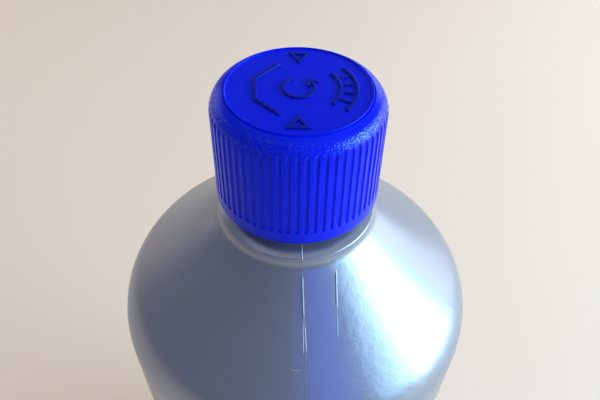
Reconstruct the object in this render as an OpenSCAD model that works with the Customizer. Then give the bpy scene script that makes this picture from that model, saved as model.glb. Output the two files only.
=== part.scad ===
// Drain cleaner bottle with a ribbed squeeze-and-turn cap.
// Millimetres, +Z up, origin at the middle of the standing ring's plane.

/* [Bottle body] */
// Outside diameter of the body
body_d = 89.4; // [80:0.1:100]
// Height of the straight side, from the ground to the shoulder's rounding
body_h = 158; // [120:1:200]
// Wall of the blown body
wall = 1.1; // [0.8:0.1:1.6]
// Radius of the rounded foot
foot_r = 6; // [4:0.5:8]
// Width of the flat ring that the bottle stands on
ring_w = 4; // [3:0.5:6]
// Depth of the hollow under the base
push_up = 4; // [2:0.5:6]

/* [Shoulder] */
// Radius between the side and the cone
shoulder_r = 14.6; // [10:0.2:18]
// Slope of the cone below the horizontal, in degrees
shoulder_slope = 43.1; // [38:0.1:48]
// Radius of the hollow where the cone meets the collar's step
cone_fillet_r = 3.3; // [1:0.1:3.4]

/* [Collar] */
// How far the cap's skirt stands out over the collar's foot, on each side
cap_overhang = 0.9; // [0.5:0.1:1.5]
// Height that the collar's sloped top climbs from the step to the neck
collar_h = 1; // [0.5:0.1:3]
// Width of the step round the collar's foot
step_w = 0.7; // [0.5:0.1:1.2]
// Height of the step's wall above the cone
step_h = 2.45; // [2:0.05:3.5]
// Radius of the edge of the collar's step
collar_edge_r = 0.45; // [0.2:0.05:0.45]
// Thickness of the collar's sloped top
collar_top_t = 1.6; // [1.2:0.1:1.9]

/* [Neck] */
// Outside diameter of the neck, without its thread
neck_d = 25.2; // [24:0.1:26]
// Bore of the neck
neck_bore_d = 21.8; // [20:0.1:22.4]
// Radius of the sealing lip's edges
lip_edge_r = 0.5; // [0.2:0.1:0.7]

/* [Thread] */
// Rise of the thread in one turn
thread_pitch = 4.2; // [3.8:0.1:5]
// Height of the neck's thread
thread_h = 1.1; // [0.9:0.1:1.2]
// Turns of the neck's thread
neck_turns = 1.5; // [1.2:0.1:1.8]
// Turns of the cap's thread
cap_turns = 1.2; // [1:0.1:1.4]
// Clearance between each crest and the opposite root
thread_play = 0.3; // [0.25:0.05:0.4]
// Distance from the lip to the middle of the thread's upper end
thread_start = 2.4; // [2:0.1:3.5]

/* [Locking lugs and tabs] */
// Height of the two lugs above the upper end of the collar's slope
lug_h = 8; // [6.5:0.1:8.5]
// Angle that a lug's ramp spans
lug_angle = 35; // [25:1:45]
// Radial gap between a lug and a tab with the skirt squeezed
lug_gap = 0.3; // [0.25:0.05:0.5]
// Height of the two tabs inside the skirt
tab_h = 4; // [3:0.1:5]
// How far a tab stands in from the skirt
tab_w = 1.2; // [1:0.1:1.4]
// Angle that a tab spans
tab_angle = 12; // [8:1:20]
// Angle between a lug's stop face and its tab, cap closed
tab_play = 4; // [2:1:8]

/* [Cap] */
// Diameter over the ribs at the lower edge
cap_d = 36; // [35.4:0.1:38]
// Height of the cap, up to the crown of its rounding
cap_h = 25.6; // [24:0.1:30]
// Height of the cap's lower edge above the upper end of the collar's slope
cap_gap = 4.1; // [3:0.1:5]
// How much the skirt's radius shrinks on its way up
cap_draft = 0.27; // [0.1:0.01:0.5]
// Radius of the rounding between skirt and top
cap_round_r = 4.6; // [4:0.1:6]
// Radius of the lower edge
cap_edge_r = 0.35; // [0.1:0.05:0.5]
// Wall of the outer skirt at its lower edge
skirt_wall = 1.1; // [1:0.1:1.2]
// Thickness of the top under the sunk disc
cap_top_t = 1.4; // [1.2:0.1:2]
// Diameter of the sunk disc in the top
disc_d = 28.6; // [26:0.2:30]
// Depth of the sunk disc below the crown
disc_depth = 0.4; // [0.3:0.05:0.6]
// Wall of the inner, threaded skirt
inner_wall = 1.1; // [0.9:0.1:1.2]
// Length of the inner, threaded skirt
inner_skirt_h = 16; // [15:0.1:17]
// Depth of the pocket between the skirts, from the inner skirt's lower end
pocket_h = 13.5; // [12:0.1:14.5]

/* [Ribs] */
// Number of grooves round the skirt
groove_n = 64; // [48:1:72]
// Width of a groove at the skirt's surface
groove_w = 1; // [0.7:0.05:1.1]
// Depth of a groove
groove_depth = 0.4; // [0.25:0.05:0.5]
// Height of the plain band under the grooves
band_h = 3; // [2:0.1:5]

/* [Top relief] */
// Width of the raised lines
line_w = 0.7; // [0.5:0.05:0.9]
// Height of the raised lines above the sunk disc
line_h = 0.4; // [0.2:0.05:0.5]
// Distance of the two squeeze marks from the disc's rim
mark_inset = 1.8; // [1:0.1:3]
// Side of a squeeze mark
mark_w = 4.6; // [3.5:0.1:5.5]
// Distance of the bent line from the disc's rim
bend_inset = 5.2; // [4.5:0.1:6]
// Distance of the grip's outer line from the disc's rim
grip_inset = 3; // [2:0.1:4]
// Distance between the grip's two lines
grip_w = 3.2; // [2.8:0.1:3.8]
// Radius of the turning arrow
turn_r = 3.1; // [2.6:0.1:3.6]

/* [Liner] */
// Thickness of the foam liner
liner_t = 1.2; // [0.8:0.1:2]
// Gap between the liner's rim and the inner skirt
liner_play = 0.5; // [0.3:0.05:0.8]
// Gap on each face of the liner
liner_seat = 0.05; // [0.02:0.01:0.1]

/* [Hidden] */
$fn = 96;
arc_steps = 8;
thread_steps = 24;
// Height at which a lug's ramp begins
lug_low = 0.35;
// Material added under what stands on a wall, so that the two are one solid
sunk = 0.4;

body_r = body_d / 2;
cap_r = cap_d / 2;
disc_r = disc_d / 2;
collar_r = cap_r - cap_overhang;
step_r = collar_r + step_w;
collar_in_r = collar_r - wall;
neck_r = neck_d / 2;
neck_bore_r = neck_bore_d / 2;
collar_slope = atan(collar_h / (collar_r - neck_r));

// Heights, each from the one below it
cone_start_r = body_r - shoulder_r + shoulder_r * sin(shoulder_slope);
cone_start_z = body_h + shoulder_r * cos(shoulder_slope);
step_z = cone_z(step_r) + step_h;
collar_z = step_z + collar_h;
cap_z = collar_z + cap_gap;
disc_z = cap_z + cap_h - disc_depth;
ceiling_z = disc_z - cap_top_t;
liner_z = ceiling_z - liner_seat - liner_t;
lip_z = liner_z - liner_seat;

// The cap's walls, worked out from the neck and from the outside
cap_bore_r = neck_r + thread_h + thread_play;
inner_skirt_r = cap_bore_r + inner_wall;
skirt_in_r = cap_r - skirt_wall;
skirt_top_r = cap_r - cap_draft;
skirt_top_h = cap_h - cap_round_r;
tab_r = skirt_in_r - tab_w;
lug_r = tab_r - lug_gap;
liner_r = cap_bore_r - liner_play;

// The thread's profile: a trapezium, wider at the root than at the crest
thread_root_w = 0.52 * thread_pitch;
thread_crest_w = 0.26 * thread_pitch;
neck_thread_z = lip_z - thread_start - neck_turns * thread_pitch;
cap_thread_z = neck_thread_z - thread_pitch / 2;

// Directions from the disc's middle in which the raised lines lie
bend_angles = [116, 162, 206, 248];
grip_angle = 38;
grip_bar_angles = [-24, -8, 8, 24];
turn_angles = [115, 395];
arrow_angle = 40;
arrow_l = 2;

// Height of the cone's outside at a radius
function cone_z(r) = cone_start_z + (cone_start_r - r) * tan(shoulder_slope);
// Height of the cone's inside at a radius
function cone_in_z(r) = cone_z(r) - wall / cos(shoulder_slope);
// Height at a radius of a surface that lies a depth below the collar's outside
function collar_surface_z(r, depth) =
    step_z + (collar_r - r) * tan(collar_slope) - depth / cos(collar_slope);
function polar(r, a) = [r * cos(a), r * sin(a)];
// Points on an arc round c, from angle a0 to angle a1
function arc(c, r, a0, a1, steps = arc_steps) = [
    for (i = [0:steps]) c + polar(r, a0 + (a1 - a0) * i / steps)
];

// The bottle's outside, from the middle of the base up to the lip
function bottle_outside() = let (
    ring_out_r = body_r - foot_r,
    ring_in_r = ring_out_r - ring_w,
    edge = collar_edge_r,
    fillet = cone_fillet_r
) concat(
    [[0, push_up], [ring_in_r - push_up, push_up], [ring_in_r, 0]],
    arc([ring_out_r, foot_r], foot_r, -90, 0),
    arc([body_r - shoulder_r, body_h], shoulder_r, 0, 90 - shoulder_slope),
    arc([
        step_r + fillet,
        cone_z(step_r + fillet * (1 - sin(shoulder_slope))) + fillet * cos(shoulder_slope)
    ], fillet, 270 - shoulder_slope, 180),
    arc([step_r - edge, step_z - edge], edge, 0, 90),
    [[collar_r, step_z], [neck_r, collar_z]],
    arc([neck_r - lip_edge_r, lip_z - lip_edge_r], lip_edge_r, 0, 90)
);

// The bottle's inside, from the lip down to the middle of the base
function bottle_inside() = let (
    in_r = shoulder_r - wall,
    ring_out_r = body_r - foot_r,
    ring_in_r = ring_out_r - ring_w + wall / 2
) concat(
    [
        [neck_bore_r, lip_z],
        [neck_bore_r, collar_surface_z(neck_bore_r, collar_top_t)],
        [collar_in_r, collar_surface_z(collar_in_r, collar_top_t)],
        [collar_in_r, cone_in_z(collar_in_r)]
    ],
    arc([body_r - shoulder_r, body_h], in_r, 90 - shoulder_slope, 0),
    arc([ring_out_r, foot_r], foot_r - wall, 0, -90),
    [[ring_in_r, wall], [ring_in_r - push_up, push_up + wall], [0, push_up + wall]]
);

// One ring of a helical rib: inner low, outer low, outer high and inner high corner
function rib_ring(a, z, in_r, out_r, in_w, out_w) = [
    for (corner = [[in_r, -in_w], [out_r, -out_w], [out_r, out_w], [in_r, in_w]])
        [corner.x * cos(a), corner.x * sin(a), z + corner.y / 2]
];

// A helical rib on a wall at root_r, as high as crest_r, that fades into the wall at both ends
module helical_rib(root_r, crest_r, turns) {
    steps = ceil(turns * thread_steps);
    fade_steps = thread_steps / 6;
    outward = crest_r > root_r;
    base_r = outward ? root_r - sunk : root_r + sunk;
    rings = [
        for (i = [0:steps]) let (
            fade = min(1, i / fade_steps - 0.2, (steps - i) / fade_steps - 0.2),
            tip_r = root_r + (crest_r - root_r) * fade,
            a = 360 * turns * i / steps,
            z = thread_pitch * turns * i / steps
        ) outward
            ? rib_ring(a, z, base_r, tip_r, thread_root_w, thread_crest_w)
            : rib_ring(a, z, tip_r, base_r, thread_crest_w, thread_root_w)
    ];
    sides = [
        for (i = [0:steps - 1], k = [0:3]) let (next = (k + 1) % 4)
            [4 * i + k, 4 * i + next, 4 * i + 4 + next, 4 * i + 4 + k]
    ];
    last = 4 * steps;
    polyhedron(
        points = [for (ring = rings, point = ring) point],
        faces = concat(sides, [[3, 2, 1, 0]], [[last, last + 1, last + 2, last + 3]])
    );
}

// A ramp that stands on the collar, with its stop face at angle 0: a tab rides over it as the cap closes
module lug() {
    root_r = neck_r - sunk;
    difference() {
        translate([0, 0, step_z])
            linear_extrude(height = collar_h + lug_h)
                polygon([
                    polar(root_r, 0),
                    polar(lug_r, 0),
                    polar((lug_r + neck_r) / 2, lug_angle / 2),
                    polar(neck_r + lug_low, lug_angle),
                    polar(root_r, lug_angle)
                ]);
        rotate_extrude() polygon([
            [0, step_z - sunk],
            [collar_r, step_z - sunk],
            [collar_r, collar_surface_z(collar_r, sunk)],
            [0, collar_surface_z(0, sunk)]
        ]);
    }
}

module bottle() {
    color([0.66, 0.71, 0.79]) {
        rotate_extrude() polygon(concat(bottle_outside(), bottle_inside()));
        translate([0, 0, neck_thread_z])
            helical_rib(neck_r, neck_r + thread_h, neck_turns);
        for (a = [0, 180]) rotate([0, 0, a]) lug();
    }
}

// The cap's section: the outside up to the disc's rim, then the underside down and out again
function cap_section() = let (
    round_c = [skirt_top_r - cap_round_r, cap_z + skirt_top_h],
    rim_angle = acos((disc_r - round_c.x) / cap_round_r),
    inner_low_z = ceiling_z - inner_skirt_h,
    pocket_z = inner_low_z + pocket_h
) concat(
    [[skirt_in_r, cap_z]],
    arc([cap_r - cap_edge_r, cap_z + cap_edge_r], cap_edge_r, -90, 0),
    arc(round_c, cap_round_r, 0, rim_angle),
    [
        [disc_r, disc_z],
        [0, disc_z],
        [0, ceiling_z],
        [cap_bore_r, ceiling_z],
        [cap_bore_r, inner_low_z],
        [inner_skirt_r, inner_low_z],
        [inner_skirt_r, pocket_z],
        [skirt_in_r - cap_draft, pocket_z]
    ]
);

// A round-bottomed groove along the skirt, which runs out where the top's rounding begins
module groove() {
    cut_r = (groove_w * groove_w / 4 + groove_depth * groove_depth) / (2 * groove_depth);
    lean = atan(cap_draft / (skirt_top_h - cap_edge_r));
    translate([cap_r + cut_r - groove_depth, 0, cap_z])
        rotate([0, -lean, 0])
            translate([0, 0, band_h])
                cylinder(r = cut_r, h = cap_h - band_h, $fn = 24);
}

// A tab inside the skirt, just behind the stop face of a lug
module tab() {
    rotate([0, 0, -tab_play - tab_angle])
        rotate_extrude(angle = tab_angle)
            translate([tab_r, cap_z + cap_edge_r])
                square([tab_w + sunk, tab_h]);
}

// The step from point i of an open line to the line's left edge, mitred at a corner
function side_step(points, i) = let (
    last = len(points) - 1,
    before = points[max(i, 1)] - points[max(i, 1) - 1],
    after = points[min(i + 1, last)] - points[min(i + 1, last) - 1],
    n0 = [-before.y, before.x] / norm(before),
    n1 = [-after.y, after.x] / norm(after)
) (n0 + n1) / (1 + n0 * n1) * line_w / 2;

// The outline of an open line through points, line_w wide
module raised_line(points) {
    last = len(points) - 1;
    polygon(concat(
        [for (i = [0:last]) points[i] + side_step(points, i)],
        [for (i = [last:-1:0]) points[i] - side_step(points, i)]
    ));
}

// A triangle with its tip towards the disc's middle, drawn as a line
module squeeze_mark() {
    inner = 1 - line_w * 2 * sqrt(3) / mark_w;
    mark_r = mark_w / sqrt(3);
    translate([0, disc_r - mark_inset - mark_r / 2])
        rotate([0, 0, -90])
            difference() {
                polygon([for (a = [0, 120, 240]) polar(mark_r, a)]);
                polygon([for (a = [0, 120, 240]) polar(mark_r * inner, a)]);
            }
}

// An open arc round the disc's middle
module raised_arc(r, a0, a1) {
    raised_line(arc([0, 0], r, a0, a1, 2 * arc_steps));
}

// Two curved lines with short bars between them
module grip() {
    outer_r = disc_r - grip_inset;
    inner_r = outer_r - grip_w;
    for (r = [inner_r, outer_r]) raised_arc(r, -grip_angle, grip_angle);
    for (a = grip_bar_angles)
        raised_line([polar(inner_r + line_w, a), polar(outer_r - line_w, a)]);
}

// An open ring whose arrow's head points the way that the cap opens
module turning_arrow() {
    ahead = turn_angles[1] + 90;
    tip = polar(turn_r, turn_angles[1]) + polar(arrow_l / 2, ahead);
    raised_arc(turn_r, turn_angles[0], turn_angles[1]);
    raised_line([
        tip - polar(arrow_l, ahead - arrow_angle),
        tip,
        tip - polar(arrow_l, ahead + arrow_angle)
    ]);
}

// Squeeze marks in front and behind, a bent line at the left, a grip at the right, an arrow between
module top_relief() {
    translate([0, 0, disc_z - sunk])
        linear_extrude(height = line_h + sunk) {
            squeeze_mark();
            rotate([0, 0, 180]) squeeze_mark();
            raised_line([for (a = bend_angles) polar(disc_r - bend_inset, a)]);
            grip();
            turning_arrow();
        }
}

module cap() {
    color([0.07, 0.15, 0.86]) {
        difference() {
            rotate_extrude() polygon(cap_section());
            for (i = [0:groove_n - 1]) rotate([0, 0, 360 * i / groove_n]) groove();
        }
        translate([0, 0, cap_thread_z])
            helical_rib(cap_bore_r, neck_r + thread_play, cap_turns);
        for (a = [0, 180]) rotate([0, 0, a]) tab();
        top_relief();
    }
}

module liner() {
    color([0.93, 0.93, 0.91])
        translate([0, 0, liner_z]) cylinder(r = liner_r, h = liner_t);
}

bottle();
cap();
liner();
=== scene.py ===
"""The looks of the drain cleaner bottle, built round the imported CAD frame.

Sizes are in millimetres up to mesh(), which turns them into metres.
"""

import math

import bpy
from mathutils import Matrix, Vector

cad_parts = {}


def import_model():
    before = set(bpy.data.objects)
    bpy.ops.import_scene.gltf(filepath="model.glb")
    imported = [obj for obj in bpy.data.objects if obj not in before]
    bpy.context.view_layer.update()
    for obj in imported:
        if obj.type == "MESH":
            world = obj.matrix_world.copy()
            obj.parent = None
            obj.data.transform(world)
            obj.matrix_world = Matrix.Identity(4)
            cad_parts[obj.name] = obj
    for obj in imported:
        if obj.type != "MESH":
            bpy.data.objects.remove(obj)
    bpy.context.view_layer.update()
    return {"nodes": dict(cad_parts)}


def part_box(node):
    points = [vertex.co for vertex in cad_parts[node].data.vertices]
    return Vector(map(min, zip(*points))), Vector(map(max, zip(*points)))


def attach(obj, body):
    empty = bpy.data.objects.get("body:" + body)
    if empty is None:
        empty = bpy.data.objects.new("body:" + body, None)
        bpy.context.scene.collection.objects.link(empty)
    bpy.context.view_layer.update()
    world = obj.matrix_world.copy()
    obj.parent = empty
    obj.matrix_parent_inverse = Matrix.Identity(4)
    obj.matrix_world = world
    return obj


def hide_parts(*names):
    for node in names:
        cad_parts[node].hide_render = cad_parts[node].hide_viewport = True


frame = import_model()

MM = 0.001

# Bottle body
BODY_R = 44.7
BODY_H = 158
WALL = 1.1
FOOT_R = 6
RING_W = 4
PUSH_UP = 4
SHOULDER_R = 14.6
SLOPE = math.radians(43.1)
CONE_HOLLOW = 0.16

# Collar and neck
COLLAR_R = 17.1
STEP_R = 17.8
STEP_H = 2.45
STEP_FILLET_R = 3.3
COLLAR_H = 1
COLLAR_BULGE = 0.5
EDGE_R = 0.5
COLLAR_TOP_T = 1.6
NECK_R = 12.6
NECK_BORE_R = 10.9
LIP_EDGE_R = 0.5

# Thread, lugs and tabs
PITCH = 4.2
THREAD_H = 1.1
NECK_TURNS = 1.5
CAP_TURNS = 1.2
THREAD_PLAY = 0.3
THREAD_START = 2.4
THREAD_ROOT_W = 0.52 * PITCH
THREAD_CREST_W = 0.26 * PITCH
LUG_H = 8
LUG_R = 15.4
LUG_ANGLE = 35
TAB_H = 4
TAB_R = 15.7
TAB_ANGLE = 12
TAB_PLAY = 4

# How far threads, lugs and tabs sink into their walls, a lug into the collar, and a line's ends, as a share
SINK = 0.4
LUG_SINK = 0.3
END_SINK = 0.2

# How far a lug's ramp stands out where it starts
LUG_START = 0.35

# Cap
CAP_R = 18
CAP_H = 25.6
CAP_DRAFT = 0.27
CAP_ROUND_R = 4.6
CAP_LEAN = CAP_DRAFT / (CAP_H - CAP_ROUND_R)
CAP_EDGE_R = 0.35
SKIRT_IN_R = 16.9
DISC_R = 14.3
DISC_DEPTH = 0.4
TOP_T = 1.4
CAP_BORE_R = NECK_R + THREAD_H + THREAD_PLAY
INNER_SKIRT_R = CAP_BORE_R + 1.1
INNER_SKIRT_H = 16
POCKET_H = 13.5
MOAT_DEPTH = 0.3
GROOVES = 64
GROOVE_W = 1
GROOVE_DEPTH = 0.4
BAND_H = 3
GROOVE_END = 0.5

# Raised lines on the cap's top
LINE_W = 0.7
LINE_H = 0.4
MARK_INSET = 1.8
MARK_W = 4.6
BEND_INSET = 5.2
BEND_ANGLES = (116, 162, 206, 248)
GRIP_INSET = 3
GRIP_W = 3.2
GRIP_ANGLE = 38
GRIP_BAR_ANGLES = (-24, -8, 8, 24)
TURN_R = 3.1
TURN_ANGLES = (115, 395)
ARROW_L = 2
ARROW_ANGLE = 40

# Mould lines: the parting plane's angle and, seen from above, where the lines on the cone run
SEAM_ANGLE = -86
CONE_SEAM_RADII = (18.9, 26.4)
SPLIT_RADII = (25.4, 32.4)
SPLIT_SPREAD = 0.35
FLOW_LINE = ((8.6, -17), (9.6, -37.6))
FLOW_BOLD_END = 0.34
FLOW_FAINT_SPAN = (0.3, 0.62)
VENT_MARK = ((-1.9, -33.5), (0, -34.1), (1.9, -33.7))

# Width and height of each mould line, and the share of its length over which an end sinks into the wall
LONG_SEAM_SIZE = (0.24, 0.022, 0.02)
COLLAR_SEAM_SIZE = (0.3, 0.09, 0.05)
PINCH_SIZE = (0.6, 0.25, 0.04)
CONE_SEAM_SIZE = (0.42, 0.2, 0.1)
SPLIT_SIZE = (0.22, 0.07, 0.3)
FLOW_BOLD_SIZE = (0.4, 0.2, 0.15)
FLOW_FAINT_SIZE = (0.42, 0.03, 0.3)
VENT_SIZE = (0.8, 0.12, 0.3)

# What the lamps look at and how far off they are, in metres
LAMP_TARGET = (0, 0, 0.18)
LAMP_DISTANCE = 0.95

# Strength of the light that the floor adds for the camera and in reflections
FLOOR_LIFT = 0.3

# The blue plastic's gloss is bluish too
CAP_GLOSS_TINT = (0.12, 0.45, 1, 1)

# Heights that the frame gives
CAP_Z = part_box("cap")[0][2] / MM
LIP_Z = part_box("bottle")[1][2] / MM
DISC_Z = CAP_Z + CAP_H - DISC_DEPTH
CEILING_Z = DISC_Z - TOP_T
INNER_LOW_Z = CEILING_Z - INNER_SKIRT_H
NECK_THREAD_Z = LIP_Z - THREAD_START - NECK_TURNS * PITCH
CAP_THREAD_Z = NECK_THREAD_Z - PITCH / 2
CONE_R = BODY_R - SHOULDER_R + SHOULDER_R * math.sin(SLOPE)
CONE_Z = BODY_H + SHOULDER_R * math.cos(SLOPE)


def cone_z(r):
    """Height of the straight cone's outside at a radius."""
    return CONE_Z + (CONE_R - r) * math.tan(SLOPE)


STEP_Z = cone_z(STEP_R) + STEP_H
COLLAR_SLOPE = math.atan(COLLAR_H / (COLLAR_R - NECK_R))


def collar_z(r, depth=0):
    """Height at a radius of a surface that lies a depth below the collar's outside."""
    return STEP_Z + (COLLAR_R - r) * math.tan(COLLAR_SLOPE) - depth / math.cos(COLLAR_SLOPE)


# Mesh helpers

def signed_volume(verts, faces):
    """Positive if the faces of a closed mesh look outwards."""
    total = 0
    for first, *others in faces:
        for b, c in zip(others, others[1:]):
            total += Vector(verts[first]).dot(Vector(verts[b]).cross(Vector(verts[c])))
    return total / 6


def mesh(name, verts, faces, sharp=32):
    """A smooth-shaded object from points in millimetres, with edges sharper than an angle kept sharp."""
    if signed_volume(verts, faces) < 0:
        faces = [tuple(reversed(face)) for face in faces]
    data = bpy.data.meshes.new(name)
    data.from_pydata([(x * MM, y * MM, z * MM) for x, y, z in verts], [], faces)
    data.validate()
    data.polygons.foreach_set("use_smooth", [True] * len(data.polygons))
    data.set_sharp_from_angle(angle=math.radians(sharp))
    data.update()
    obj = bpy.data.objects.new(name, data)
    bpy.context.scene.collection.objects.link(obj)
    return obj


def polar(r, a):
    """The point (x, y) at a radius and an angle in radians."""
    return (r * math.cos(a), r * math.sin(a))


def arc(x, z, r, start, end, steps=12):
    """Points on an arc round (x, z), angles in degrees."""
    turn = [math.radians(start + (end - start) * i / steps) for i in range(steps + 1)]
    return [(x + r * math.cos(a), z + r * math.sin(a)) for a in turn]


def line(a, b, steps):
    """Points between a and b, without the two ends."""
    return [(a[0] + (b[0] - a[0]) * i / steps, a[1] + (b[1] - a[1]) * i / steps) for i in range(1, steps)]


def revolve(name, profile, angles, radius_at=None):
    """A closed surface round Z from a profile that starts and ends on the axis."""
    rows = profile[1:-1]
    verts = [(0, 0, profile[0][1])]
    for i, (r, z) in enumerate(rows):
        for a in angles:
            reach = radius_at(i, r, z, a) if radius_at else r
            verts.append((*polar(reach, a), z))
    verts.append((0, 0, profile[-1][1]))
    n = len(angles)
    last = len(verts) - 1
    final_row = 1 + (len(rows) - 1) * n
    faces = []
    for k in range(n):
        after = (k + 1) % n
        faces.append((0, 1 + after, 1 + k))
        faces.append((last, final_row + k, final_row + after))
        for i in range(len(rows) - 1):
            low = 1 + i * n
            faces.append((low + k, low + after, low + n + after, low + n + k))
    return mesh(name, verts, faces)


def loft(name, rings, closed=False):
    """A solid through rings of points, with an end face on the first and the last unless the rings close."""
    n = len(rings[0])
    count = len(rings)
    verts = [point for ring in rings for point in ring]
    faces = []
    for i in range(count if closed else count - 1):
        a = i * n
        b = (i + 1) % count * n
        for k in range(n):
            after = (k + 1) % n
            faces.append((a + k, b + k, b + after, a + after))
    if not closed:
        faces.append(tuple(range(n)))
        faces.append(tuple(reversed(range((count - 1) * n, count * n))))
    return mesh(name, verts, faces)


def sweep(name, stations, section, closed=False):
    """A solid that carries a section of (side, up) pairs along stations of (origin, side, up) vectors."""
    rings = [
        [tuple(origin + side * s + up * u) for s, u in section]
        for origin, side, up in stations
    ]
    return loft(name, rings, closed)


def join(name, parts):
    """One object from several."""
    for obj in bpy.context.selected_objects:
        obj.select_set(False)
    for part in parts:
        part.select_set(True)
    bpy.context.view_layer.objects.active = parts[0]
    bpy.ops.object.join()
    parts[0].name = name
    parts[0].data.name = name
    return parts[0]


# Bottle

def bottle_outside():
    """The outside's profile, from the middle of the base up to the lip."""
    ring_out = BODY_R - FOOT_R
    ring_in = ring_out - RING_W
    slope = math.degrees(SLOPE)
    ring_edge = 0.4
    ring_flat_start = 0.3
    neck_foot = 0.4
    edge_turn = 66
    cone_steps = 24
    collar_steps = 16
    fillet_c = (
        STEP_R + STEP_FILLET_R,
        cone_z(STEP_R + STEP_FILLET_R * (1 - math.sin(SLOPE))) + STEP_FILLET_R * math.cos(SLOPE),
    )
    shoulder = arc(BODY_R - SHOULDER_R, BODY_H, SHOULDER_R, 0, 90 - slope, 24)
    fillet = arc(*fillet_c, STEP_FILLET_R, 270 - slope, 180, 8)
    cone = []
    for i, (r, z) in enumerate(line(shoulder[-1], fillet[0], cone_steps), start=1):
        sink = CONE_HOLLOW * math.sin(math.pi * i / cone_steps)
        cone.append((r - sink * math.sin(SLOPE), z - sink * math.cos(SLOPE)))
    step_edge = arc(STEP_R - EDGE_R, STEP_Z - EDGE_R, EDGE_R, 0, edge_turn, 8)
    collar_end = (NECK_R + neck_foot, collar_z(NECK_R + neck_foot))
    collar = [
        (r, z + COLLAR_BULGE * math.sin(math.pi * i / collar_steps))
        for i, (r, z) in enumerate(line(step_edge[-1], collar_end, collar_steps), start=1)
    ]
    collar += [collar_end, (NECK_R, collar_z(NECK_R) + neck_foot)]
    return (
        [(0, PUSH_UP), (ring_in - PUSH_UP, PUSH_UP)]
        + [(ring_in - ring_edge, ring_edge), (ring_in + ring_flat_start, 0)]
        + arc(ring_out, FOOT_R, FOOT_R, -90, 0, 14)
        + line((BODY_R, FOOT_R), (BODY_R, BODY_H), 12)
        + shoulder + cone + fillet
        + step_edge + collar
        + arc(NECK_R - LIP_EDGE_R, LIP_Z - LIP_EDGE_R, LIP_EDGE_R, 0, 90, 6)
    )


def bottle_inside():
    """The inside's profile, from the lip down to the middle of the base."""
    ring_out = BODY_R - FOOT_R
    ring_in = ring_out - RING_W
    slope = math.degrees(SLOPE)
    in_collar = COLLAR_R - WALL
    in_cone_z = cone_z(in_collar) - WALL / math.cos(SLOPE)
    return (
        [(NECK_BORE_R, LIP_Z)]
        + [(r, collar_z(r, COLLAR_TOP_T)) for r in (NECK_BORE_R, in_collar)]
        + [(in_collar, in_cone_z)]
        + arc(BODY_R - SHOULDER_R, BODY_H, SHOULDER_R - WALL, 90 - slope, 0, 12)
        + arc(ring_out, FOOT_R, FOOT_R - WALL, 0, -90, 8)
        + [(ring_in + WALL / 2, WALL), (ring_in + WALL / 2 - PUSH_UP, PUSH_UP + WALL), (0, PUSH_UP + WALL)]
    )


def bottle_shell():
    columns = 320
    angles = [math.tau * k / columns for k in range(columns)]
    return revolve("bottle_shell", bottle_outside() + bottle_inside(), angles)


def fade(i, last, length):
    """1 along a line, and less over a length in steps at each end, down to END_SINK below the wall."""
    return min(1, i / length - END_SINK, (last - i) / length - END_SINK)


def helical_rib(name, low_z, root_r, crest_r, turns):
    """A thread with rounded corners on a wall at root_r. It fades into the wall at both ends."""
    steps_per_turn = 60
    fade_steps = steps_per_turn / 6
    steps = math.ceil(turns * steps_per_turn)
    out = 1 if crest_r > root_r else -1
    root = THREAD_ROOT_W / 2
    crest = THREAD_CREST_W / 2
    flank = (root - crest) * 0.15
    flank_top = 0.85
    section = [(-root, -SINK), (-root, 0), (-crest - flank, flank_top), (-crest + flank, 1)]
    section += [(-s, u) for s, u in reversed(section)]
    stations = []
    for i in range(steps + 1):
        a = math.tau * turns * i / steps
        outward = Vector((*polar(1, a), 0)) * out
        origin = Vector((*polar(root_r, a), low_z + PITCH * turns * i / steps))
        reach = abs(crest_r - root_r) * fade(i, steps, fade_steps)
        stations.append((origin, Vector((0, 0, out)), outward, reach))
    rings = [
        [tuple(origin + side * s + up * (u if u < 0 else u * reach)) for s, u in section]
        for origin, side, up, reach in stations
    ]
    return loft(name, rings)


def block(name, high_z, low_z_at, reach_at, start, end, base_r):
    """A lug or tab on a round wall, between two angles in degrees.

    Its tip's radius is reach_at(t) at t from 0 to 1, and its foot's height is low_z_at(radius).
    """
    steps = 16
    soft = 0.25
    rings = []
    for i in range(steps + 1):
        t = i / steps
        a = math.radians(start + (end - start) * t)
        reach = reach_at(t)
        edge = soft if reach > base_r else -soft
        edge *= min(1, abs(reach - base_r) / (2 * soft))
        corners = [
            (base_r, low_z_at(base_r)),
            (reach - edge / 2, low_z_at(reach - edge / 2)),
            (reach, low_z_at(reach) + soft),
            (reach, high_z - soft),
            (reach - edge / 2, high_z),
            (base_r, high_z),
        ]
        rings.append([(*polar(r, a), z) for r, z in corners])
    return loft(name, rings)


def lugs():
    parts = []
    for turn in (0, 180):
        parts.append(block(
            "lug", collar_z(NECK_R) + LUG_H, lambda r: collar_z(r, LUG_SINK),
            lambda t: LUG_R + (NECK_R + LUG_START - LUG_R) * t, turn, turn + LUG_ANGLE, NECK_R - SINK,
        ))
    return join("bottle_lugs", parts)


def tabs():
    parts = []
    for turn in (0, 180):
        parts.append(block(
            "tab", CAP_Z + CAP_EDGE_R + TAB_H, lambda r: CAP_Z + CAP_EDGE_R,
            lambda t: TAB_R, turn - TAB_PLAY - TAB_ANGLE, turn - TAB_PLAY, SKIRT_IN_R + SINK,
        ))
    return join("cap_tabs", parts)


def on_cone(x, y):
    """The point on the cone's outside at (x, y), and the way out of the wall there."""
    r = math.hypot(x, y)
    low_r = STEP_R + STEP_FILLET_R * (1 - math.sin(SLOPE))
    t = min(max((CONE_R - r) / (CONE_R - low_r), 0), 1)
    outward = Vector((x / r * math.sin(SLOPE), y / r * math.sin(SLOPE), math.cos(SLOPE)))
    return Vector((x, y, cone_z(r))) - outward * CONE_HOLLOW * math.sin(math.pi * t), outward


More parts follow.
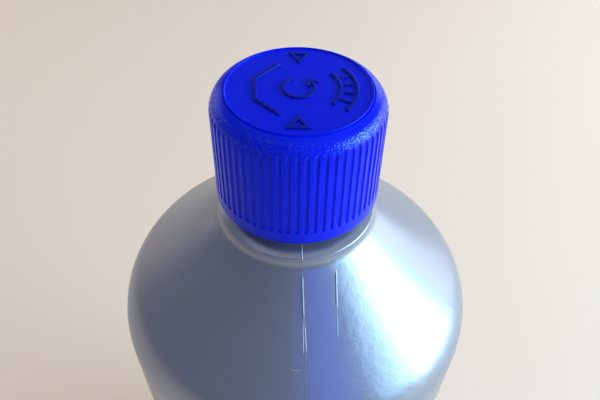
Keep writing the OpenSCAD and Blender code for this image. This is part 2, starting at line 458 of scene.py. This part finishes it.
def cone_route(*corners):
    """(point, way out) pairs along straight stretches between corners seen from above."""
    steps = 24
    route = []
    for start, end in zip(corners, corners[1:]):
        stretch = [on_cone(*Vector(start).lerp(Vector(end), i / steps)) for i in range(steps + 1)]
        route += stretch[1:] if route else stretch
    return route


def seam_route(low, high):
    """(point, way out) pairs in the parting plane, along the outside's profile between two of its points."""
    across = Vector((*polar(1, math.radians(SEAM_ANGLE)), 0))
    profile = bottle_outside()[low:high]
    last = len(profile) - 1
    route = []
    for i, (r, z) in enumerate(profile):
        r0, z0 = profile[max(i - 1, 0)]
        r1, z1 = profile[min(i + 1, last)]
        outward = (across * (z1 - z0) - Vector((0, 0, r1 - r0))).normalized()
        route.append((across * r + Vector((0, 0, z)), outward))
    return route


def half_turn(route):
    """The same route on the other side of the bottle."""
    flip = Vector((-1, -1, 1))
    return [(point * flip, outward * flip) for point, outward in route]


def ridge(route, width, height, taper):
    """A fine line on the wall along a route. It sinks into the wall over a share of its length at each end."""
    last = len(route) - 1
    depth = 0.25
    stations = []
    for i, (point, outward) in enumerate(route):
        along = (route[min(i + 1, last)][0] - route[max(i - 1, 0)][0]).normalized()
        rise = fade(i, last, last * taper)
        stations.append((point - outward * height * (1 - rise), along.cross(outward), outward))
    half = width / 2
    section = [(-half, -depth), (-half, 0), (-half / 2, height * 0.8), (0, height)]
    section += [(-side, up) for side, up in reversed(section[:-1])]
    return sweep("ridge", stations, section)


def pinch_line():
    """The line that the closing mould leaves across the hollow base."""
    across = Vector((*polar(1, math.radians(SEAM_ANGLE)), 0))
    down = Vector((0, 0, -1))
    reach = BODY_R - FOOT_R - RING_W - PUSH_UP
    return [(across * reach * t + Vector((0, 0, PUSH_UP)), down) for t in (-1, -0.95, -0.5, 0, 0.5, 0.95, 1)]


def on_both_sides(route, size):
    """A line along a route and its like on the other side of the bottle."""
    return [ridge(side, *size) for side in (route, half_turn(route))]


def split_seam():
    """Two fine lines into which the cone's seam parts at its lower end."""
    front = math.radians(SEAM_ANGLE)
    near, far = (Vector(polar(r, front)) for r in SPLIT_RADII)
    offsets = [Vector((x, 0)) for x in (-SPLIT_SPREAD, SPLIT_SPREAD)]
    return [ridge(cone_route(near + offset / 2, far + offset), *SPLIT_SIZE) for offset in offsets]


def flow_line():
    """A line that starts bold beside the collar and goes on faint."""
    near, far = (Vector(end) for end in FLOW_LINE)
    faint_start, faint_end = (near.lerp(far, share) for share in FLOW_FAINT_SPAN)
    bold = ridge(cone_route(near, near.lerp(far, FLOW_BOLD_END)), *FLOW_BOLD_SIZE)
    return [bold, ridge(cone_route(faint_start, faint_end), *FLOW_FAINT_SIZE)]


def mould_lines():
    profile = bottle_outside()

    def first_within(reach):
        """The index of the profile's first point above the body that lies within a radius."""
        return next(i for i, (r, z) in enumerate(profile) if z > BODY_H and r < reach)

    foot = 6
    step = first_within(STEP_R + 0.5)
    near_neck = first_within(NECK_R + 0.6)
    front = math.radians(SEAM_ANGLE)
    cone_seam = cone_route(*(polar(r, front) for r in CONE_SEAM_RADII))
    parts = on_both_sides(seam_route(foot, near_neck), LONG_SEAM_SIZE)
    parts += on_both_sides(seam_route(step, near_neck), COLLAR_SEAM_SIZE)
    parts.append(ridge(pinch_line(), *PINCH_SIZE))
    parts.append(ridge(cone_seam, *CONE_SEAM_SIZE))
    parts += split_seam() + flow_line()
    parts.append(ridge(cone_route(*VENT_MARK), *VENT_SIZE))
    return join("bottle_mould_lines", parts)


# Cap

def groove_reach(angle):
    """How deep the grooves cut at an angle, with rounded bottoms and soft rims."""
    cut_r = (GROOVE_W ** 2 / 4 + GROOVE_DEPTH ** 2) / (2 * GROOVE_DEPTH)
    pitch = math.tau / GROOVES
    x = abs((angle / pitch + 0.5) % 1 - 0.5) * pitch * CAP_R
    half = GROOVE_W / 2
    if x < half:
        depth = math.sqrt(cut_r ** 2 - x ** 2) - (cut_r - GROOVE_DEPTH)
    else:
        rim_fall = 2
        depth = (half - x) * rim_fall
    soft = 0.035
    return (depth + math.sqrt(depth ** 2 + soft ** 2)) / 2


def cap_profile():
    """The cap's outside from the middle of the disc down to the lower edge, then its inside."""
    round_x = CAP_R - CAP_DRAFT - CAP_ROUND_R
    round_z = CAP_Z + CAP_H - CAP_ROUND_R
    rim = math.degrees(math.acos((DISC_R - round_x) / CAP_ROUND_R))
    rim_z = round_z + CAP_ROUND_R * math.sin(math.radians(rim))
    low = CAP_Z + BAND_H
    side = [
        (CAP_R - CAP_LEAN * (z - CAP_Z), z)
        for z in (CAP_Z + 18, CAP_Z + 12, CAP_Z + 7)
    ]
    side += [
        (CAP_R - CAP_LEAN * (BAND_H + GROOVE_END * t), low + GROOVE_END * t)
        for t in (1, 0.7, 0.45, 0.25, 0.1, 0.03, 0, -0.1)
    ]
    rim_r = 0.1
    moat_floor = (DISC_R + 0.24, DISC_R + 0.42)
    moat_end = DISC_R + 0.6
    moat_angle = math.degrees(math.acos((moat_end - round_x) / CAP_ROUND_R))
    outside = (
        [(0, DISC_Z), (DISC_R - 0.6, DISC_Z)]
        + arc(DISC_R - rim_r, DISC_Z + rim_r, rim_r, 270, 360, 3)
        + arc(DISC_R + rim_r, rim_z, rim_r, 180, 10, 6)
        + [(r, rim_z - MOAT_DEPTH) for r in moat_floor]
        + arc(round_x, round_z, CAP_ROUND_R, moat_angle, 0, 26)
        + side
        + [(CAP_R, CAP_Z + 1.2)]
        + arc(CAP_R - CAP_EDGE_R, CAP_Z + CAP_EDGE_R, CAP_EDGE_R, 0, -90, 5)
    )
    pocket_z = INNER_LOW_Z + POCKET_H
    mouth = 0.12
    edge = 0.2
    corner = 0.4
    inside = [
        (SKIRT_IN_R + mouth, CAP_Z),
        (SKIRT_IN_R, CAP_Z + mouth),
        (SKIRT_IN_R - CAP_DRAFT, pocket_z),
        (INNER_SKIRT_R, pocket_z),
        (INNER_SKIRT_R, INNER_LOW_Z + edge),
        (INNER_SKIRT_R - edge, INNER_LOW_Z),
        (CAP_BORE_R + edge, INNER_LOW_Z),
        (CAP_BORE_R, INNER_LOW_Z + edge),
        (CAP_BORE_R, CEILING_Z - corner),
        (CAP_BORE_R - corner, CEILING_Z),
        (0, CEILING_Z),
    ]
    return outside, inside


def cap_shell():
    """The cap with its grooves, its columns closest together at the grooves' rims."""
    outside, inside = cap_profile()
    outer_rows = len(outside) - 1
    per_groove = (0, 0.09, 0.17, 0.23, 0.265, 0.29, 0.325, 0.4, 0.6, 0.675, 0.71, 0.735, 0.77, 0.83, 0.91)
    angles = [math.tau * (k + u) / GROOVES for k in range(GROOVES) for u in per_groove]
    depths = {a: groove_reach(a) for a in angles}

    def radius_at(i, r, z, a):
        height = z - CAP_Z
        if i >= outer_rows or height < BAND_H:
            return r
        run = min((height - BAND_H) / GROOVE_END, 1)
        rise = math.sqrt(max(1 - (1 - run) ** 2, 0))
        cut = CAP_R - CAP_LEAN * height - depths[a] * rise
        gap = r - cut
        soft = 0.05
        return r - (gap + math.sqrt(gap * gap + soft * soft)) / 2 * rise

    return revolve("cap_shell", outside + inside, angles, radius_at)


def raised_line(points, closed=False):
    """A flat-topped line with soft edges along points on the disc."""
    count = len(points)
    stations = []
    for i in range(count):
        here = Vector(points[i])
        before = here - Vector(points[i - 1]) if closed or i else Vector(points[1]) - here
        after = Vector(points[(i + 1) % count]) - here if closed or i < count - 1 else before
        n0 = Vector((-before.y, before.x)).normalized()
        n1 = Vector((-after.y, after.x)).normalized()
        mitre = (n0 + n1) / (1 + n0.dot(n1))
        stations.append((Vector((*here, DISC_Z)), Vector((*mitre, 0)), Vector((0, 0, 1))))
    half = LINE_W / 2
    section = [(-half, -0.3), (-half, LINE_H - 0.14), (-half + 0.05, LINE_H - 0.04), (-half + 0.15, LINE_H)]
    section += [(-s, u) for s, u in reversed(section)]
    return sweep("line", stations, section, closed)


def squeeze_mark(turn):
    """A triangle whose tip points to the middle of the disc."""
    reach = MARK_W / math.sqrt(3)
    middle = DISC_R - MARK_INSET - reach / 2
    inset = reach - LINE_W
    points = [polar(inset, math.radians(a - 90)) for a in (0, 120, 240)]
    flip = math.cos(turn)
    return raised_line([(x * flip, (y + middle) * flip) for x, y in points], closed=True)


def raised_arc(r, start, end):
    return raised_line(arc(0, 0, r, start, end, 40))


def grip():
    """Two curved lines with short bars between them."""
    outer = DISC_R - GRIP_INSET
    inner = outer - GRIP_W
    parts = [raised_arc(r, -GRIP_ANGLE, GRIP_ANGLE) for r in (inner, outer)]
    for angle in GRIP_BAR_ANGLES:
        a = math.radians(angle)
        parts.append(raised_line([polar(inner + LINE_W, a), polar(outer - LINE_W, a)]))
    return parts


def turning_arrow():
    """An open ring whose arrow's head points the way that the cap opens."""
    end = math.radians(TURN_ANGLES[1])
    ahead = end + math.pi / 2
    tip = Vector(polar(TURN_R, end)) + Vector(polar(ARROW_L / 2, ahead))
    spread = math.radians(ARROW_ANGLE)
    barbs = [tip - Vector(polar(ARROW_L, ahead + turn)) for turn in (-spread, spread)]
    return [raised_arc(TURN_R, *TURN_ANGLES), raised_line([barbs[0], tip, barbs[1]])]


def cap_relief():
    bend = raised_line([polar(DISC_R - BEND_INSET, math.radians(a)) for a in BEND_ANGLES])
    return join("cap_relief", [squeeze_mark(0), squeeze_mark(math.pi), bend, *grip(), *turning_arrow()])


# Materials

def material(name, colour, roughness, metallic=0.0, **sockets):
    mat = bpy.data.materials.new(name)
    mat.use_nodes = True
    shader = mat.node_tree.nodes["Principled BSDF"]
    shader.inputs["Base Color"].default_value = (*colour, 1)
    shader.inputs["Roughness"].default_value = roughness
    shader.inputs["Metallic"].default_value = metallic
    for key, value in sockets.items():
        shader.inputs[key.replace("_", " ")].default_value = value
    return mat, mat.node_tree, shader


def add(tree, kind, **values):
    node = tree.nodes.new(kind)
    for key, value in values.items():
        if key in node.inputs:
            node.inputs[key].default_value = value
        else:
            setattr(node, key, value)
    return node


def noise(tree, coords, scale, detail=2.0):
    node = add(tree, "ShaderNodeTexNoise", Scale=scale, Detail=detail)
    tree.links.new(coords, node.inputs["Vector"])
    return node.outputs["Fac"]


def ramp(tree, value, *stops):
    """A colour between (position, colour) stops."""
    node = tree.nodes.new("ShaderNodeValToRGB")
    elements = node.color_ramp.elements
    while len(elements) < len(stops):
        elements.new(1)
    for element, (position, colour) in zip(elements, stops):
        element.position = position
        element.color = (*colour, 1)
    tree.links.new(value, node.inputs["Fac"])
    return node.outputs["Color"]


def bump(tree, height, distance, strength, normal=None):
    node = add(tree, "ShaderNodeBump", Distance=distance, Strength=strength)
    tree.links.new(height, node.inputs["Height"])
    if normal:
        tree.links.new(normal, node.inputs["Normal"])
    return node.outputs["Normal"]


def remap(tree, value, low, high, start=0.0, end=1.0):
    """A value from start to end brought to the range from low to high."""
    node = tree.nodes.new("ShaderNodeMapRange")
    tree.links.new(value, node.inputs["Value"])
    for name, setting in (("From Min", start), ("From Max", end), ("To Min", low), ("To Max", high)):
        node.inputs[name].default_value = setting
    return node.outputs["Result"]


def product(tree, a, b):
    node = add(tree, "ShaderNodeMath", operation="MULTIPLY")
    tree.links.new(a, node.inputs[0])
    tree.links.new(b, node.inputs[1])
    return node.outputs[0]


def object_coords(tree):
    return tree.nodes.new("ShaderNodeTexCoord").outputs["Object"]


def bottle_plastic():
    mat, tree, shader = material("bottle_plastic", (0.34, 0.38, 0.46), 0.3, 0.6)
    coords = object_coords(tree)
    tone = ramp(tree, noise(tree, coords, 45), (0.3, (0.325, 0.365, 0.44)), (0.7, (0.355, 0.395, 0.475)))
    tree.links.new(tone, shader.inputs["Base Color"])
    tree.links.new(remap(tree, noise(tree, coords, 300), 0.27, 0.34), shader.inputs["Roughness"])
    peel = bump(tree, noise(tree, coords, 420), 0.0001, 0.65)
    flake = bump(tree, noise(tree, coords, 2600, 1), 0.00002, 0.5, peel)
    tree.links.new(flake, shader.inputs["Normal"])
    return mat


def cap_plastic():
    """The blue plastic, with a polished sparkle on the cap's rounding alone."""
    mat, tree, shader = material(
        "cap_plastic", (0.003, 0.014, 0.88), 0.26, IOR=1.38, Specular_Tint=CAP_GLOSS_TINT,
    )
    coords = object_coords(tree)
    tone = ramp(tree, noise(tree, coords, 90), (0.3, (0.0025, 0.012, 0.84)), (0.7, (0.0035, 0.016, 0.92)))
    tree.links.new(tone, shader.inputs["Base Color"])
    height = tree.nodes.new("ShaderNodeSeparateXYZ")
    tree.links.new(coords, height.inputs[0])
    round_z = (CAP_Z + CAP_H - CAP_ROUND_R) * MM
    share = remap(tree, height.outputs["Z"], 0, 1, round_z, round_z + CAP_ROUND_R * MM)
    rounding = ramp(tree, share, (0.25, (0, 0, 0)), (0.45, (1, 1, 1)), (0.74, (1, 1, 1)), (0.84, (0, 0, 0)))
    speckle = noise(tree, coords, 2700, 1)
    fine = bump(tree, noise(tree, coords, 900), 0.00002, 0.4)
    grain = product(tree, speckle, rounding)
    tree.links.new(bump(tree, grain, 0.0001, 1, fine), shader.inputs["Normal"])
    peaks = ramp(tree, speckle, (0.48, (0, 0, 0)), (0.54, (1, 1, 1)))
    polish = product(tree, peaks, rounding)
    tint = ramp(tree, polish, (0, CAP_GLOSS_TINT[:3]), (1, (0.6, 1, 1)))
    tree.links.new(tint, shader.inputs["Specular Tint"])
    tree.links.new(remap(tree, polish, 0.26, 0.07), shader.inputs["Roughness"])
    tree.links.new(remap(tree, polish, 0.5, 1), shader.inputs["Specular IOR Level"])
    return mat


def relief_painted_shade_plastic():
    """The cap's blue plastic on the raised lines, coloured a darker blue than the disc as painted shade."""
    # Painted shade: this darker blue stands in for shade on the raised lines, which are the same plastic as the
    # disc.
    mat, tree, shader = material(
        "cap_relief_painted_shade", (0.004, 0.014, 0.34), 0.26, IOR=1.38, Specular_Tint=CAP_GLOSS_TINT,
    )
    coords = object_coords(tree)
    # Painted shade: the tone varies at random but stays darker than the disc's.
    tone = ramp(tree, noise(tree, coords, 150), (0.3, (0.003, 0.012, 0.3)), (0.7, (0.005, 0.016, 0.4)))
    tree.links.new(tone, shader.inputs["Base Color"])
    tree.links.new(bump(tree, noise(tree, coords, 900), 0.00003, 0.4), shader.inputs["Normal"])
    return mat


def liner_foam():
    mat, tree, shader = material("liner_foam", (0.85, 0.85, 0.83), 0.8)
    coords = object_coords(tree)
    tone = ramp(tree, noise(tree, coords, 700, 3), (0.35, (0.78, 0.78, 0.76)), (0.65, (0.9, 0.9, 0.88)))
    tree.links.new(tone, shader.inputs["Base Color"])
    cells = add(tree, "ShaderNodeTexVoronoi", Scale=2200)
    tree.links.new(coords, cells.inputs["Vector"])
    tree.links.new(bump(tree, cells.outputs["Distance"], 0.0001, 0.5), shader.inputs["Normal"])
    return mat


def dress(obj, mat, body):
    """A material and its slot on an object that rides on a body."""
    obj.data.materials.clear()
    obj.data.materials.append(mat)
    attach(obj, body)


# Scene

def camera():
    """The photograph's view: from above and in front of the cap, rolled a little."""
    yaw = math.radians(0.42)
    pitch = math.radians(45.91)
    roll = math.radians(1.28)
    in_front = 0.0911
    above_cap_foot = 0.0884
    forward = Vector((math.sin(yaw) * math.cos(pitch), math.cos(yaw) * math.cos(pitch), -math.sin(pitch)))
    level_right = Vector((math.cos(yaw), -math.sin(yaw), 0))
    level_up = level_right.cross(forward)
    right = level_right * math.cos(roll) + level_up * math.sin(roll)
    up = level_up * math.cos(roll) - level_right * math.sin(roll)
    data = bpy.data.cameras.new("camera")
    data.lens = 33.91
    data.clip_start = 0.01
    obj = bpy.data.objects.new("camera", data)
    turn = Matrix((right, up, -forward)).transposed().to_4x4()
    obj.matrix_world = Matrix.Translation((0, -in_front, CAP_Z * MM + above_cap_foot)) @ turn
    bpy.context.scene.collection.objects.link(obj)
    bpy.context.scene.camera = obj


def floor():
    """A pale matt plane, a little lighter to the camera and in reflections than the lamps make it."""
    size = 3.0
    data = bpy.data.meshes.new("floor")
    corners = [(-size, -size, 0), (size, -size, 0), (size, size, 0), (-size, size, 0)]
    data.from_pydata(corners, [], [(0, 1, 2, 3)])
    obj = bpy.data.objects.new("floor", data)
    bpy.context.scene.collection.objects.link(obj)
    mat, tree, shader = material("floor", (0.72, 0.62, 0.53), 0.8)
    tone = ramp(tree, noise(tree, object_coords(tree), 3), (0.3, (0.71, 0.61, 0.52)), (0.7, (0.73, 0.63, 0.54)))
    tree.links.new(tone, shader.inputs["Base Color"])
    shader.inputs["Emission Color"].default_value = (0.86, 0.7, 0.52, 1)
    path = tree.nodes.new("ShaderNodeLightPath")
    seen = path.outputs["Is Camera Ray"]
    for kind in ("Is Glossy Ray", "Is Transmission Ray"):
        either = add(tree, "ShaderNodeMath", operation="MAXIMUM")
        tree.links.new(seen, either.inputs[0])
        tree.links.new(path.outputs[kind], either.inputs[1])
        seen = either.outputs[0]
    lift = add(tree, "ShaderNodeMath", operation="MULTIPLY")
    tree.links.new(seen, lift.inputs[0])
    lift.inputs[1].default_value = FLOOR_LIFT
    tree.links.new(lift.outputs[0], shader.inputs["Emission Strength"])
    data.materials.append(mat)


def world():
    """A dim, even room. The lamps give the rest."""
    scene_world = bpy.data.worlds.new("world")
    scene_world.use_nodes = True
    bpy.context.scene.world = scene_world
    scene_world.node_tree.nodes["Background"].inputs["Color"].default_value = (0.185, 0.195, 0.245, 1)


def softbox(name, azimuth, elevation, size, power, colour):
    """A rectangular lamp that looks at the bottle's shoulder from a distance, its direction in degrees."""
    data = bpy.data.lights.new(name, "AREA")
    data.shape = "RECTANGLE"
    data.size, data.size_y = size
    data.energy = power
    data.color = colour
    obj = bpy.data.objects.new(name, data)
    a = math.radians(azimuth)
    e = math.radians(elevation)
    out = Vector((math.cos(a) * math.cos(e), math.sin(a) * math.cos(e), math.sin(e)))
    obj.location = Vector(LAMP_TARGET) + out * LAMP_DISTANCE
    obj.rotation_euler = (-out).to_track_quat("-Z", "Y").to_euler()
    bpy.context.scene.collection.objects.link(obj)


def build():
    silver = bottle_plastic()
    blue = cap_plastic()
    shell = bottle_shell()
    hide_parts("bottle")
    dress(shell, silver, "bottle")
    thread = helical_rib("bottle_thread", NECK_THREAD_Z, NECK_R, NECK_R + THREAD_H, NECK_TURNS)
    dress(thread, silver, "bottle")
    dress(lugs(), silver, "bottle")
    dress(mould_lines(), silver, "bottle")

    cap = cap_shell()
    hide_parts("cap")
    dress(cap, blue, "cap")
    cap_thread = helical_rib("cap_thread", CAP_THREAD_Z, CAP_BORE_R, NECK_R + THREAD_PLAY, CAP_TURNS)
    dress(cap_thread, blue, "cap")
    dress(tabs(), blue, "cap")
    dress(cap_relief(), relief_painted_shade_plastic(), "cap")

    liner = frame["nodes"]["liner"]
    liner.data.materials.clear()
    liner.data.materials.append(liner_foam())


camera()
floor()
world()
softbox("window", -6, 11.5, (0.6, 0.66), 11, (0.63, 0.87, 1))
softbox("window_edge", -33, 16, (0.28, 0.6), 1.85, (0.47, 0.78, 1))
softbox("sky", -66, 32, (0.45, 0.4), 0.8, (0.02, 0.09, 1))
softbox("right", 28, 5, (0.4, 0.4), 1.5, (0.9, 0.93, 1))
softbox("right_back", 60, 12, (0.4, 0.4), 1.2, (0.7, 0.85, 1))
softbox("left_back", 140, 15, (0.5, 0.4), 0.8, (1, 0.85, 0.75))
softbox("overhead", 90, 84, (1.4, 1.2), 2.8, (1, 0.95, 0.9))
build()

bpy.context.scene.view_settings.view_transform = "Standard"
